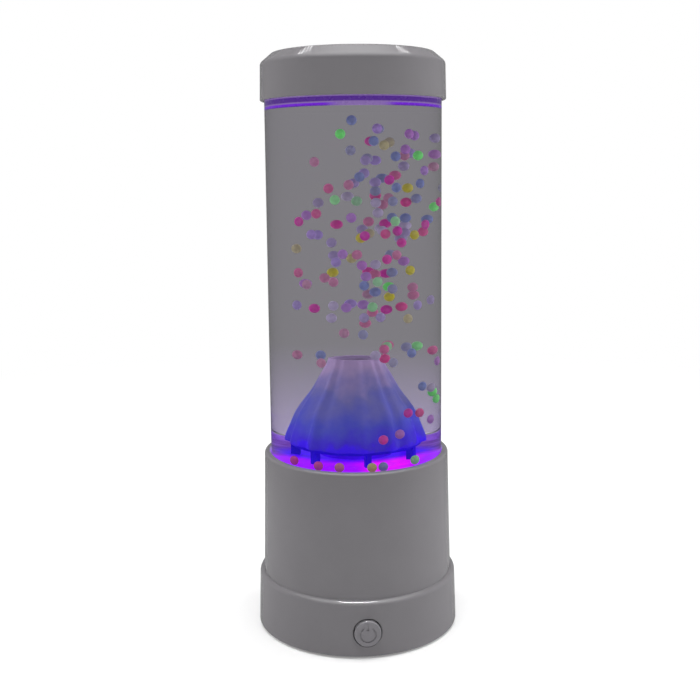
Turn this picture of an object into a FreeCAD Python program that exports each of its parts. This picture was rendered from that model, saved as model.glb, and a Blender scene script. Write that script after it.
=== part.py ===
"""Mountain mood light: a water column with a pump-driven plume of beads over a small mountain.

All sizes are millimetres. The lamp stands on its feet at Z = 0, with its axis on Z.
The power button faces -Y and the power inlet faces +Y.
"""
import FreeCAD
import Part
import math
import os
import random

V = FreeCAD.Vector
ORIGIN = V(0, 0, 0)
X_AXIS = V(1, 0, 0)
Z_AXIS = V(0, 0, 1)

# Tank tube and floor
tank_d = 90.0
tank_wall = 3.0
tank_show = 181.1  # tube left bare between the base rim and the cap
tube_in_cap = 6.2
tank_floor_t = 5.0
floor_drop = 2.2  # floor's top face below the base rim
tube_foot = 1.0  # tube stands this much below the floor disc
floor_boss_r = 4.0
floor_boss_h = 1.5

# Base housing
housing_height = 63.5  # from the skirt's top edge to the rim
tank_gap = 0.3
rim_wall = 3.1
rim_round = 1.2
housing_flare = 1.4  # how much wider the wall is at its foot
housing_wall = 2.4
spigot_depth = 5.2
spigot_gap = 0.15
seat_width = 4.5
seat_ring_t = 2.0
seat_ring_inset = 0.5
seat_t = 3.0
deck_t = 2.5
deck_below_floor = 11.0  # deck's top face below the tank floor's lower face
deck_hole_r = 9.0
wire_hole_r = 2.5
post_r = 4.0
post_inset = 1.8
post_count = 4
post_web_t = 1.6

# Base skirt
foot_gap = 1.2  # feet stand out this far below the skirt
skirt_height = 25.7
skirt_flare = 0.7
skirt_wall = 2.4
shoulder_width = 2.3
shoulder_height = 2.3
shoulder_crown = 0.64  # how far the shoulder bulges from a straight bevel
collar_wall = 1.1
collar_length = 4.2
lip_width = 3.6
lip_t = 2.0

# Bottom cover and feet
cover_t = 2.4
cover_inset = 0.5
cover_gap = 0.5
cover_boss_r = 5.0
cover_boss_h = 1.9
foot_r = 5.0
foot_recess = 0.8

# Screws: head radius, head height, shank radius and length under the head
cover_screw = (2.9, 1.9, 1.4, 11.0)
board_screw = (2.4, 1.5, 1.2, 5.1)
led_screw = (1.9, 1.2, 1.0, 4.2)
bracket_screw = (2.2, 1.4, 1.1, 4.4)
loose_fit = 0.3
edge_break = 0.4
head_recess = 0.3
slot_width = 0.7
slot_depth = 0.6

# Power button and its switch
button_z = 13.2
button_r = 6.7
button_gap = 0.6
button_dome = 0.7
button_edge_round = 0.7
button_proud = 1.7  # beyond the skirt's widest radius
button_flange_r = 8.2
button_flange_t = 1.4
button_seat_gap = 0.2
button_travel = 0.8
button_stem_r = 3.0
button_stem_length = 5.0
guide_r = 10.0
guide_depth = 6.5
guide_floor = 4.2  # guide's seat behind the skirt's widest radius
symbol_r = 4.2
symbol_line = 0.8
symbol_depth = 0.4
symbol_opening = 70.0  # degrees left open at the ring's top
symbol_bar = 3.6
symbol_bar_foot = 2.04  # bar's lower end, above the button's axis
symbol_bar_sink = 0.55  # bar's floor below the dome's top
plunger_r = 1.5
plunger_gap = 0.1
plunger_length = 4.0
plunger_in_switch = 2.4
switch_size = 7.0

# Control board, lying on the bottom cover's bosses
board_width = 34.0
board_depth = 26.0
board_t = 1.6
board_boss_r = 3.0
board_boss_inset = 3.6
switch_overhang = 0.5
chip_size = (8.0, 5.0, 1.7)
capacitor_r = 3.2
capacitor_h = 9.0
connector_size = (7.0, 6.0, 6.0)
chip_row = 12.0  # from the board's front edge
motor_plug_inset = 6.0
capacitor_inset = 5.5

# Power inlet
inlet_z = 13.2
inlet_flange_r = 7.0
inlet_flange_t = 1.8
inlet_barrel_r = 5.4
inlet_length = 13.0
inlet_bore_r = 3.15
inlet_bore_depth = 9.8
inlet_pin_r = 1.0
inlet_pin_root = 2.0
inlet_pin_inset = 1.2
inlet_inset = 0.8  # flange face inside the skirt's widest radius
inlet_pad_r = 9.0
inlet_pad_depth = 8.5
inlet_recess_gap = 0.2
inlet_nut_r = 7.4
inlet_nut_t = 2.6

# Light ring under the tank floor
led_board_inner_r = 18.0
led_board_gap = 2.0  # to the tank seat
led_board_t = 1.6
led_board_lift = 3.5
led_standoff_r = 3.2
led_standoff_count = 3
led_count = 12
led_side = 5.0
led_height = 1.6
led_inset = 5.5

# Motor, hung under the deck
can_r = 12.2
can_wall = 1.0
can_length = 23.5
end_cap_t = 3.5
end_cap_spigot = 1.5
damper_t = 1.5
bracket_wall = 2.0
bracket_lip_t = 2.0
bracket_flange_r = 25.0
bracket_flange_t = 2.5
bracket_screw_count = 3
shaft_r = 1.0
shaft_gap = 0.05
bush_r = 3.0
bush_proud = 2.0
end_bush_inset = 1.0
shaft_cover = 1.0  # holder's skin over the shaft's end
rotor_gap = 0.65  # to the field magnets
rotor_length = 15.0
rotor_slot = 1.6
rotor_bay = 5.0
rotor_core_r = 3.3
rotor_shoe_t = 1.5
rotor_end_gap = 1.5
field_magnet_t = 2.2
field_magnet_angle = 120.0
glue_gap = 0.05
commutator_r = 2.6
commutator_length = 2.5
terminal_size = (2.0, 0.5, 5.0)
terminal_spread = 5.0

# Magnetic drive through the tank floor
drive_air_gap = 1.2
holder_r = 13.5
holder_t = 5.3
holder_hub_r = 4.0
holder_hub_h = 3.0
magnet_r = 4.0
magnet_t = 3.0
magnet_circle_r = 8.6
magnet_count = 2

# Impeller in the tank
impeller_gap = 0.5
impeller_r = 14.0
impeller_t = 4.0
blade_count = 6
blade_t = 1.4
blade_reach = 13.5
blade_h = 5.0
impeller_hub_r = 3.6
impeller_bush_r = 2.3
impeller_hub_rise = 1.5
axle_r = 1.25
axle_gap = 0.06
axle_sink = 2.5
axle_end = 2.2
clip_r = 2.6
clip_t = 0.8
clip_gap = 0.3

# Stand, riser and mountain
stand_t = 1.5
stand_lift = 7.7  # mountain's foot above the tank floor
stand_inner_r = 17.0
leg_count = 6
leg_width = 2.8
leg_depth = 3.4
first_leg = -83.0  # degrees about the axis
riser_wall = 1.5
riser_r = 7.1
riser_flange_r = 23.0
riser_flange_t = 1.8
riser_dome_r = 17.5
riser_dome_h = 4.3
riser_cone_h = 9.5
riser_short = 1.2  # riser ends this much under the crest
# Height above the foot and mean radius
mountain_outline = ((0.0, 26.9), (3.0, 26.6), (9.0, 24.9), (16.0, 22.8), (23.6, 19.2), (29.0, 16.4),
                    (36.0, 13.6), (45.0, 10.3))
mountain_wall = 1.8
crest_t = 4.0
flute_depth = 1.3
flute_fade = 0.6
flute_points = 91
flute_count = 13
fine_flute_count = 21
broad_flute_count = 4

# Beads
bead_d = 4.7
bead_gap = 0.3
bead_seed = 48
plume_beads = 122
falling_beads = 10
stray_beads = 12
crater_beads = 13
floor_beads = 6
bead_shares = {"pink": 36, "lilac": 24, "blue": 15, "green": 12, "white": 6, "yellow": 7}
plume_above_crest = 16.0
clear_front_y = -29.2  # a bead wholly in front of this may rise higher, and drift to the left
clear_left_x = -4.0  # behind it, no bead left of this, above clear_left_z
clear_left_z = 226.0
bead_top_gap = 10.0  # highest bead behind it, below the sealing lid
front_top_gap = 6.5  # highest bead in front of it, below the sealing lid

# Cap and sealing lid
cap_gap = 0.4
cap_wall = 1.8
cap_draft = 0.4
cap_height = 18.6
cap_bevel_width = 5.8
cap_bevel_height = 4.9
cap_roof_t = 2.0
cap_step = 1.8
cap_edge_round = 0.7
cap_corner_round = 2.8
cap_top_round = 1.6
lid_drop = 4.6  # lid's underside below the cap's lower edge
lid_gap = 0.3
lid_floor_t = 2.0
lid_wall = 3.2
lid_flange_t = 2.0
seal_r = 1.1
seal_gap = 0.2
seal_above_lid = 6.4
groove_gap = 0.1
peg_r = 5.0
peg_wall = 1.8
peg_circle_r = 24.0
peg_count = 3
socket_wall = 2.0
peg_grip = 6.0
peg_gap = 0.3

# Internal leads
lead_r = 1.0
led_lead_x = 7.2
led_lead_gap = 2.5  # between the motor bracket and the lead's hole

# Levels and radii that follow from the sizes above
skirt_z = foot_gap
skirt_top_z = skirt_z + skirt_height
junction_z = skirt_top_z + shoulder_height
rim_z = junction_z + housing_height
cap_z = rim_z + tank_show
tube_top_z = cap_z + tube_in_cap
floor_z = rim_z - floor_drop
floor_under_z = floor_z - tank_floor_t
tube_z = floor_under_z - tube_foot
seat_z = tube_z - seat_ring_t
deck_z = floor_under_z - deck_below_floor
deck_under_z = deck_z - deck_t
cover_z = skirt_z + cover_inset
cover_top_z = cover_z + cover_t
post_z = cover_top_z + cover_boss_h

tank_r = tank_d / 2
tank_bore_r = tank_r - tank_wall
bore_r = tank_r + tank_gap
rim_r = bore_r + rim_wall
junction_r = rim_r + housing_flare
collar_r = junction_r - collar_wall
spigot_r = collar_r - spigot_gap
spigot_bore_r = spigot_r - housing_wall
wall_inner_r = junction_r - housing_wall
skirt_top_r = junction_r + shoulder_width
skirt_bottom_r = skirt_top_r + skirt_flare
skirt_bore_r = skirt_bottom_r - skirt_wall
cover_r = skirt_bore_r - cover_gap
post_circle_r = spigot_bore_r - post_r - post_inset
foot_circle_r = post_circle_r
seat_inner_r = bore_r - seat_width

led_board_z = deck_z + led_board_lift
led_board_r = seat_inner_r - led_board_gap
led_standoff_circle_r = (led_board_inner_r + led_board_r) / 2
led_circle_r = led_board_r - led_inset

can_top_z = deck_under_z - can_wall
can_z = can_top_z - can_length
end_cap_z = can_z - end_cap_t
bracket_z = end_cap_z - bracket_lip_t
damper_r = can_r + damper_t
bracket_r = damper_r + bracket_wall
holder_top_z = floor_under_z - drive_air_gap
holder_z = holder_top_z - holder_t
rotor_z = can_z + commutator_length + rotor_end_gap
field_magnet_r = can_r - can_wall - glue_gap
rotor_r = field_magnet_r - field_magnet_t - rotor_gap
end_bush_z = end_cap_z + end_bush_inset
shaft_top_z = holder_top_z - shaft_cover

impeller_z = floor_z + floor_boss_h + impeller_gap
blade_z = impeller_z + impeller_t
hub_top_z = blade_z + blade_h + impeller_hub_rise
clip_z = hub_top_z + clip_gap
axle_top_z = clip_z + clip_t + axle_end
stand_z = floor_z + stand_lift
mountain_top_z = stand_z + mountain_outline[-1][0]
riser_outer_r = riser_r + riser_wall
riser_top_z = mountain_top_z - riser_short

lid_z = cap_z - lid_drop
lid_r = tank_bore_r - lid_gap
lid_inner_r = lid_r - lid_wall
lid_floor_z = lid_z + lid_floor_t
flange_top_z = tube_top_z + lid_flange_t
cap_bore_r = tank_r + cap_gap
cap_bottom_r = cap_bore_r + cap_wall
cap_wall_top_r = cap_bottom_r - cap_draft
cap_top_r = cap_wall_top_r - cap_bevel_width
cap_shoulder_z = cap_z + cap_height
cap_top_z = cap_shoulder_z + cap_bevel_height
cap_roof_z = cap_top_z - cap_roof_t

button_out = skirt_bottom_r + button_proud
guide_seat = skirt_bottom_r - guide_floor
button_flange_front = guide_seat - button_seat_gap
button_flange_back = button_flange_front - button_flange_t
button_stem_end = button_flange_back - button_stem_length
switch_front = button_stem_end - plunger_length
board_z = button_z - switch_size / 2 - board_t
board_top_z = board_z + board_t
board_front_y = -switch_front - switch_overhang
board_back_y = board_front_y + board_depth
inlet_face = skirt_bottom_r - inlet_inset
inlet_seat = inlet_face - inlet_flange_t
inlet_back = inlet_seat - inlet_length
inlet_pad_back = skirt_bottom_r - inlet_pad_depth
motor_plug_x = connector_size[0] / 2 - board_width / 2 + motor_plug_inset
motor_plug_y = board_front_y + chip_row
led_lead_y = -(bracket_r + led_lead_gap + wire_hole_r)


def turned(outline):
    """Solid of revolution about Z: (r, z) is a corner, and (rm, zm, r, z) an arc through (rm, zm)."""
    edges = []
    start = V(outline[0][0], 0, outline[0][1])
    for entry in outline[1:] + outline[:1]:
        end = V(entry[-2], 0, entry[-1])
        if len(entry) == 4:
            edges.append(Part.Arc(start, V(entry[0], 0, entry[1]), end).toShape())
        else:
            edges.append(Part.LineSegment(start, end).toShape())
        start = end
    return Part.Face(Part.Wire(edges)).revolve(ORIGIN, Z_AXIS, 360)


def rod(radius, low, high, x=0.0, y=0.0):
    """Upright cylinder between two levels."""
    return Part.makeCylinder(radius, high - low, V(x, y, low))


def ring(outer, inner, low, high, x=0.0, y=0.0):
    """Upright tube between two levels."""
    return rod(outer, low, high, x, y).cut(rod(inner, low, high, x, y))


def block(size, centre_x, centre_y, low):
    """Upright box centred on a point, standing on a level."""
    return Part.makeBox(size[0], size[1], size[2], V(centre_x - size[0] / 2, centre_y - size[1] / 2, low))


def around(count, radius, first=0.0):
    """Evenly spaced points of a circle about the axis."""
    angles = [math.radians(first + 360.0 * i / count) for i in range(count)]
    return [(radius * math.cos(a), radius * math.sin(a)) for a in angles]


def to_front(shape, level):
    """Turns a shape built up along Z so that it points out along -Y, with its axis at a level."""
    return shape.rotate(ORIGIN, X_AXIS, 90).translate(V(0, 0, level))


def to_back(shape, level):
    """Turns a shape built up along Z so that it points out along +Y, with its axis at a level."""
    return shape.rotate(ORIGIN, X_AXIS, -90).translate(V(0, 0, level))


def fuse(shapes):
    """One clean solid from overlapping ones."""
    return shapes[0].multiFuse(shapes[1:]).removeSplitter()


def cut(shape, tools):
    """A shape less several others."""
    return shape.cut(Part.makeCompound(tools)) if tools else shape


def round_rings(solid, radius, rings):
    """Rounds the circular edges that lie at the given (radius, level) pairs."""
    chosen = []
    for edge in solid.Edges:
        if edge.Degenerated or not isinstance(edge.Curve, Part.Circle):
            continue
        place = edge.Curve.Center
        if any(abs(edge.Curve.Radius - r) < 0.01 and abs(place.z - z) < 0.01 for r, z in rings):
            chosen.append(edge)
    if len(chosen) < len(rings):
        raise ValueError("an edge to round is missing")
    return solid.makeFillet(radius, chosen)


def screw(kind, x, y, level, up=1):
    """Pan-head screw with a cross recess; its head bears on a level and its shank runs up or down from it."""
    head_r, head_h, shank_r, length = kind
    head = Part.makeCylinder(head_r, head_h, ORIGIN, V(0, 0, -1))
    head = head.makeFillet(head_h / 3, [e for e in head.Edges if abs(e.CenterOfMass.z + head_h) < 0.01])
    slots = [Part.makeBox(head_r * 1.2, slot_width, slot_depth, V(-head_r * 0.6, -slot_width / 2, -head_h))]
    slots.append(slots[0].copy().rotate(ORIGIN, Z_AXIS, 90))
    body = fuse([head, rod(shank_r, -head_h / 2, length)]).cut(Part.makeCompound(slots))
    if up < 0:
        body = body.rotate(ORIGIN, X_AXIS, 180)
    return body.translate(V(x, y, level))


def post_points():
    return around(post_count, post_circle_r, 45)


def foot_points():
    return around(post_count, foot_circle_r, 0)


def board_points():
    reach = board_width / 2 - board_boss_inset
    front = board_front_y + board_boss_inset
    back = board_back_y - board_boss_inset
    return [(-reach, front), (reach, back), (-reach, back)]


def standoff_points():
    return around(led_standoff_count, led_standoff_circle_r, 90)


def bracket_points():
    circle = (bracket_r + bracket_flange_r) / 2
    return around(bracket_screw_count, circle, 30)


def base_housing():
    """Upper shell of the base, with the tank's seat, the deck and the screw posts."""
    seat_under_z = seat_z - seat_t
    share = (seat_under_z - junction_z) / (rim_z - junction_z)
    wall_top_r = wall_inner_r - housing_flare * share
    shell = turned([(spigot_r, junction_z - spigot_depth), (spigot_r, junction_z), (junction_r, junction_z),
                    (rim_r, rim_z), (bore_r, rim_z), (bore_r, seat_z), (seat_inner_r, seat_z),
                    (seat_inner_r, seat_under_z), (wall_top_r, seat_under_z), (wall_inner_r, junction_z),
                    (spigot_bore_r, junction_z), (spigot_bore_r, junction_z - spigot_depth)])
    shell = round_rings(shell, rim_round, [(rim_r, rim_z)])
    solids = [shell, ring(wall_top_r + housing_wall / 2, deck_hole_r, deck_under_z, deck_z)]
    for x, y in post_points():
        post = rod(post_r, post_z, deck_z, x, y)
        web = Part.makeBox(wall_inner_r - post_circle_r, post_web_t, deck_z - junction_z,
                           V(post_circle_r, -post_web_t / 2, junction_z))
        turn = math.degrees(math.atan2(y, x))
        solids += [post, web.rotate(ORIGIN, Z_AXIS, turn)]
    for x, y in standoff_points():
        solids.append(rod(led_standoff_r, deck_z - deck_t / 2, led_board_z, x, y))
    holes = [rod(cover_screw[2], post_z, post_z + cover_screw[3], x, y) for x, y in post_points()]
    holes += [rod(led_screw[2], led_board_z + led_board_t - led_screw[3], led_board_z, x, y)
              for x, y in standoff_points()]
    holes += [rod(bracket_screw[2], deck_under_z, deck_under_z - bracket_flange_t + bracket_screw[3], x, y)
              for x, y in bracket_points()]
    holes.append(rod(wire_hole_r, deck_under_z, deck_z, led_lead_x, led_lead_y))
    return [cut(fuse(solids), holes)]


def base_skirt():
    """Lower ring of the base, with its rounded shoulder, the button's guide and the inlet's pad."""
    slope = math.hypot(shoulder_width, shoulder_height)
    bend_r = junction_r + shoulder_width / 2 + shoulder_crown * shoulder_height / slope
    bend_z = skirt_top_z + shoulder_height / 2 + shoulder_crown * shoulder_width / slope
    collar_z = junction_z - collar_length
    neck_r = skirt_top_r - skirt_wall
    lip_r = skirt_bore_r - lip_width
    shell = turned([(skirt_bottom_r, skirt_z), (skirt_top_r, skirt_top_z),
                    (bend_r, bend_z, junction_r, junction_z), (collar_r, junction_z), (collar_r, collar_z),
                    (neck_r, collar_z - collar_wall), (skirt_bore_r, cover_top_z + lip_t),
                    (lip_r, cover_top_z + lip_t), (lip_r, cover_top_z), (skirt_bore_r, cover_top_z),
                    (skirt_bore_r, skirt_z)])
    reach = skirt_bottom_r - skirt_wall / 2
    guide = to_front(rod(guide_r, guide_seat - guide_depth + button_flange_t, reach), button_z)
    pad = to_back(rod(inlet_pad_r, inlet_pad_back, reach), inlet_z)
    inside = rod(skirt_top_r - skirt_wall / 2, 0, junction_z)
    below = rod(skirt_bottom_r, 0, cover_top_z)
    guide = guide.common(inside).cut(below)
    pad = pad.common(inside).cut(below)
    holes = [to_front(rod(button_r + button_gap, 0, skirt_bottom_r + 1), button_z),
             to_front(rod(button_flange_r + loose_fit, 0, guide_seat), button_z),
             to_back(rod(inlet_barrel_r, 0, skirt_bottom_r), inlet_z),
             to_back(rod(inlet_flange_r + inlet_recess_gap, inlet_seat, skirt_bottom_r + 1), inlet_z)]
    return [cut(fuse([shell, guide, pad]), holes)]


def bottom_cover():
    """Plate that closes the base, with recesses for the feet and bosses for the control board."""
    solids = [rod(cover_r, cover_z, cover_top_z)]
    solids += [rod(cover_boss_r, cover_z, post_z, x, y) for x, y in post_points()]
    solids += [rod(board_boss_r, cover_z, board_z, x, y) for x, y in board_points()]
    seat = post_z - cover_boss_h - head_recess
    holes = [rod(foot_r, cover_z, cover_z + foot_recess, x, y) for x, y in foot_points()]
    for x, y in post_points():
        holes.append(rod(cover_screw[0] + loose_fit, cover_z, seat, x, y))
        holes.append(rod(cover_screw[2] + loose_fit, seat, post_z, x, y))
    holes += [rod(board_screw[2], board_top_z - board_screw[3], board_z, x, y) for x, y in board_points()]
    return [cut(fuse(solids), holes)]


def rubber_feet():
    feet = []
    for x, y in foot_points():
        foot = rod(foot_r, 0, cover_z + foot_recess, x, y)
        feet.append(foot.makeFillet(foot_gap / 3, [e for e in foot.Edges if e.BoundBox.ZMax < 0.01]))
    return feet


def cover_screws():
    seat = post_z - cover_boss_h - head_recess
    return [screw(cover_screw, x, y, seat) for x, y in post_points()]


def power_button():
    """Domed push button with an engraved power sign, its retaining flange and its stem."""
    edge = button_out - button_dome
    dome_r = (button_r ** 2 + button_dome ** 2) / (2 * button_dome)
    dome_centre = V(0, 0, button_out - dome_r)
    dome = Part.makeSphere(dome_r, dome_centre).rotate(dome_centre, X_AXIS, 90)
    above = button_out + button_dome
    face = rod(button_r, button_flange_front, above).common(dome)
    face = round_rings(face, button_edge_round, [(button_r, edge)])
    body = fuse([rod(button_stem_r, button_stem_end, button_flange_front),
                 rod(button_flange_r, button_flange_back, button_flange_front), face])
    floor = button_out - button_dome * (symbol_r / button_r) ** 2 - symbol_depth
    outline = [V(symbol_r - symbol_line, 0, floor), V(symbol_r, 0, floor), V(symbol_r, 0, above),
               V(symbol_r - symbol_line, 0, above)]
    section = Part.Face(Part.makePolygon(outline + outline[:1]))
    section.rotate(ORIGIN, Z_AXIS, 90 + symbol_opening / 2)
    groove = section.revolve(ORIGIN, Z_AXIS, 360 - symbol_opening)
    bar_floor = button_out - symbol_bar_sink
    bar = Part.makeBox(symbol_line, symbol_bar, above - bar_floor,
                       V(-symbol_line / 2, symbol_bar_foot, bar_floor))
    return [to_front(cut(body, [groove, bar]), button_z)]


def switch_body():
    """Right-angle push switch on the control board's front edge."""
    low = board_top_z
    body = block((switch_size, switch_size, switch_size), 0, -switch_front + switch_size / 2, low)
    hole = to_front(rod(plunger_r + plunger_gap, switch_front - plunger_in_switch - button_travel - 1,
                        switch_front), button_z)
    return [body.cut(hole)]


def switch_plunger():
    return [to_front(rod(plunger_r, switch_front - plunger_in_switch, button_stem_end), button_z)]


def control_board():
    width = board_width
    plate = Part.makeBox(width, board_depth, board_t, V(-width / 2, board_front_y, board_z))
    return [cut(plate, [rod(board_screw[2], board_z, board_top_z, x, y) for x, y in board_points()])]


def board_screws():
    return [screw(board_screw, x, y, board_top_z, -1) for x, y in board_points()]


def board_components():
    """Driver chip, smoothing capacitor and three lead connectors on the control board."""
    back = board_back_y - connector_size[1] / 2
    chip = block(chip_size, 0, board_front_y + chip_row, board_top_z)
    capacitor = rod(capacitor_r, board_top_z, board_top_z + capacitor_h, board_width / 2 - capacitor_inset,
                    board_front_y + capacitor_inset)
    parts = [chip, round_rings(capacitor, capacitor_r / 5, [(capacitor_r, board_top_z + capacitor_h)])]
    parts += [block(connector_size, x, back, board_top_z) for x in (0.0, led_lead_x)]
    parts.append(block(connector_size, motor_plug_x, motor_plug_y, board_top_z))
    return parts


def power_inlet():
    """Round panel socket: flange outside, barrel through the pad, blind bore round a centre pin."""
    body = fuse([rod(inlet_barrel_r, inlet_back, inlet_face), rod(inlet_flange_r, inlet_seat, inlet_face)])
    body = round_rings(body, inlet_flange_t / 4, [(inlet_flange_r, inlet_face)])
    bore_floor = inlet_face - inlet_bore_depth
    holes = [rod(inlet_bore_r, bore_floor, inlet_face),
             rod(inlet_pin_r, bore_floor - inlet_pin_root, bore_floor)]
    return [to_back(cut(body, holes), inlet_z)]


def inlet_pin():
    low = inlet_face - inlet_bore_depth - inlet_pin_root
    return [to_back(rod(inlet_pin_r, low, inlet_face - inlet_pin_inset), inlet_z)]


def inlet_nut():
    """Hexagon nut that clamps the inlet from inside the base."""
    corners = [V(x, y, inlet_pad_back - inlet_nut_t) for x, y in around(6, inlet_nut_r, 30)]
    nut = Part.Face(Part.makePolygon(corners + corners[:1])).extrude(V(0, 0, inlet_nut_t))
    return [to_back(nut.cut(rod(inlet_barrel_r, 0, inlet_pad_back)), inlet_z)]


def led_board():
    plate = ring(led_board_r, led_board_inner_r, led_board_z, led_board_z + led_board_t)
    holes = [rod(led_screw[2], led_board_z, led_board_z + led_board_t, x, y) for x, y in standoff_points()]
    return [cut(plate, holes)]


def led_board_screws():
    return [screw(led_screw, x, y, led_board_z + led_board_t, -1) for x, y in standoff_points()]


def led_chips():
    """Square light packages in a ring, each with a shallow round window."""
    low = led_board_z + led_board_t
    chips = []
    for i in range(led_count):
        chip = block((led_side, led_side, led_height), led_circle_r, 0, low)
        chip = chip.cut(rod(led_side * 0.4, low + led_height * 0.8, low + led_height, led_circle_r, 0))
        chips.append(chip.rotate(ORIGIN, Z_AXIS, 360.0 * (i + 0.5) / led_count))
    return chips


def tank_seat_ring():
    return [ring(tank_r, seat_inner_r + seat_ring_inset, seat_z, tube_z)]


def tank_tube():
    tube = ring(tank_r, tank_bore_r, tube_z, tube_top_z)
    return [round_rings(tube, edge_break, [(tank_r, tube_top_z), (tank_bore_r, tube_top_z)])]


def tank_floor():
    """Clear disc bonded into the tube, with a boss for the impeller's axle."""
    boss_z = floor_z + floor_boss_h
    disc = fuse([rod(tank_bore_r, floor_under_z, floor_z), rod(floor_boss_r, floor_under_z, boss_z)])
    return [disc.cut(rod(axle_r, floor_z - axle_sink, boss_z))]


def motor_can():
    """Drawn steel cup that holds the field magnets, open at its lower end."""
    can = rod(can_r, can_z, deck_under_z).cut(rod(can_r - can_wall, can_z, can_top_z))
    can = round_rings(can, can_wall * 0.8, [(can_r, deck_under_z)])
    boss = rod(bush_r + can_wall, can_top_z, deck_under_z + bush_proud - can_wall)
    return [fuse([can, boss]).cut(rod(bush_r, can_top_z, deck_under_z + bush_proud))]


def motor_end_cap():
    """Plastic lid of the motor, which holds the lower bush and the terminals."""
    collar = ring(can_r - can_wall, can_r - 2 * can_wall, can_z, can_z + end_cap_spigot)
    slot = (terminal_size[0], terminal_size[1], end_cap_t)
    holes = [block(slot, side * terminal_spread, 0, end_cap_z) for side in (-1, 1)]
    holes.append(rod(bush_r, end_bush_z, can_z))
    return [cut(fuse([rod(can_r, end_cap_z, can_z), collar]), holes)]


def motor_bushes():
    """Two sintered bushes, in the can's nose and in the end cap."""
    bore = shaft_r + shaft_gap
    return [ring(bush_r, bore, can_top_z, deck_under_z + bush_proud), ring(bush_r, bore, end_bush_z, can_z)]


def motor_terminals():
    low = end_cap_z - terminal_size[2] + end_cap_t
    return [block(terminal_size, side * terminal_spread, 0, low) for side in (-1, 1)]


def motor_magnets():
    """Two curved field magnets glued to the can's wall."""
    arcs = []
    outer = field_magnet_r
    inner = outer - field_magnet_t
    high = rotor_z + rotor_length
    for middle in (0, 180):
        corners = [V(inner, 0, rotor_z), V(outer, 0, rotor_z), V(outer, 0, high), V(inner, 0, high)]
        face = Part.Face(Part.makePolygon(corners + corners[:1]))
        face.rotate(ORIGIN, Z_AXIS, middle - field_magnet_angle / 2)
        arcs.append(face.revolve(ORIGIN, Z_AXIS, field_magnet_angle))
    return arcs


def motor_rotor():
    """Three-pole armature with its commutator, pressed on the shaft."""
    high = rotor_z + rotor_length
    core = rod(rotor_r, rotor_z, high)
    slots = []
    for i in range(3):
        slot = Part.makeBox(rotor_r, rotor_slot, rotor_length, V(rotor_core_r, -rotor_slot / 2, rotor_z))
        bay = ring(rotor_r - rotor_shoe_t, rotor_core_r, rotor_z, high)
        wedge = Part.makeBox(rotor_r, rotor_bay, rotor_length, V(0, -rotor_bay / 2, rotor_z))
        slots += [s.rotate(ORIGIN, Z_AXIS, 120.0 * i) for s in (slot, bay.common(wedge))]
    body = fuse([cut(core, slots), rod(commutator_r, rotor_z - commutator_length, rotor_z)])
    return [body.cut(rod(shaft_r, rotor_z - commutator_length, high))]


def motor_shaft():
    return [rod(shaft_r, end_bush_z + end_bush_inset / 2, shaft_top_z)]


def motor_damper():
    """Rubber sleeve round the motor."""
    return [ring(damper_r, can_r, end_cap_z, deck_under_z - can_wall)]


def motor_bracket():
    """Cup that hangs the motor from the deck."""
    high = deck_under_z - bracket_flange_t
    body = fuse([ring(bracket_r, damper_r, bracket_z, deck_under_z),
                 ring(bracket_flange_r, damper_r, high, deck_under_z),
                 ring(bracket_r, can_r * 0.7, bracket_z, end_cap_z)])
    return [cut(body, [rod(bracket_screw[2], high, deck_under_z, x, y) for x, y in bracket_points()]
                + [rod(wire_hole_r, high, deck_under_z, led_lead_x, led_lead_y)])]


def bracket_screws():
    return [screw(bracket_screw, x, y, deck_under_z - bracket_flange_t) for x, y in bracket_points()]


def magnet_pockets(level):
    return [rod(magnet_r, level, level + magnet_t, x, y) for x, y in around(magnet_count, magnet_circle_r)]


def magnet_holder():
    """Disc on the motor's shaft that carries the driving magnets close under the tank floor."""
    body = fuse([rod(holder_r, holder_z, holder_top_z), rod(holder_hub_r, holder_z - holder_hub_h, holder_z)])
    body = round_rings(body, edge_break, [(holder_r, holder_top_z)])
    holes = magnet_pockets(holder_top_z - magnet_t) + [rod(shaft_r, 0, shaft_top_z)]
    return [cut(body, holes)]


def drive_magnets():
    return magnet_pockets(holder_top_z - magnet_t)


def impeller():
    """Bladed disc in the water, turned through the floor by its own magnets."""
    hub = rod(impeller_hub_r, impeller_z, hub_top_z)
    solids = [rod(impeller_r, impeller_z, blade_z), hub]
    for i in range(blade_count):
        blade = Part.makeBox(blade_reach, blade_t, blade_h, V(0, -blade_t / 2, blade_z))
        solids.append(blade.rotate(ORIGIN, Z_AXIS, 360.0 * (i + 0.5) / blade_count))
    holes = magnet_pockets(impeller_z) + [rod(impeller_bush_r, impeller_z, hub_top_z)]
    return [cut(fuse(solids), holes)]


def impeller_magnets():
    return magnet_pockets(impeller_z)


def impeller_bush():
    return [ring(impeller_bush_r, axle_r + axle_gap, impeller_z, hub_top_z)]


def impeller_axle():
    return [rod(axle_r, floor_z - axle_sink, axle_top_z)]


def axle_clip():
    """Spring clip near the axle's end, which keeps the impeller down."""
    body = ring(clip_r, axle_r, clip_z, clip_z + clip_t)
    return [body.cut(Part.makeBox(clip_r + 1, axle_r * 1.2, clip_t, V(0, -axle_r * 0.6, clip_z)))]


def mountain_stand():
    """Ring on legs, which leaves intake windows between the floor and the mountain's foot."""
    outer = mountain_outline[0][1] - flute_depth
    solids = [ring(outer, stand_inner_r, stand_z - stand_t, stand_z)]
    for i in range(leg_count):
        leg = Part.makeBox(leg_depth, leg_width, stand_lift, V(outer - leg_depth, -leg_width / 2, floor_z))
        shaped = leg.common(rod(outer, floor_z, stand_z))
        solids.append(shaped.rotate(ORIGIN, Z_AXIS, 360.0 * i / leg_count + first_leg))
    return [fuse(solids)]


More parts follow.
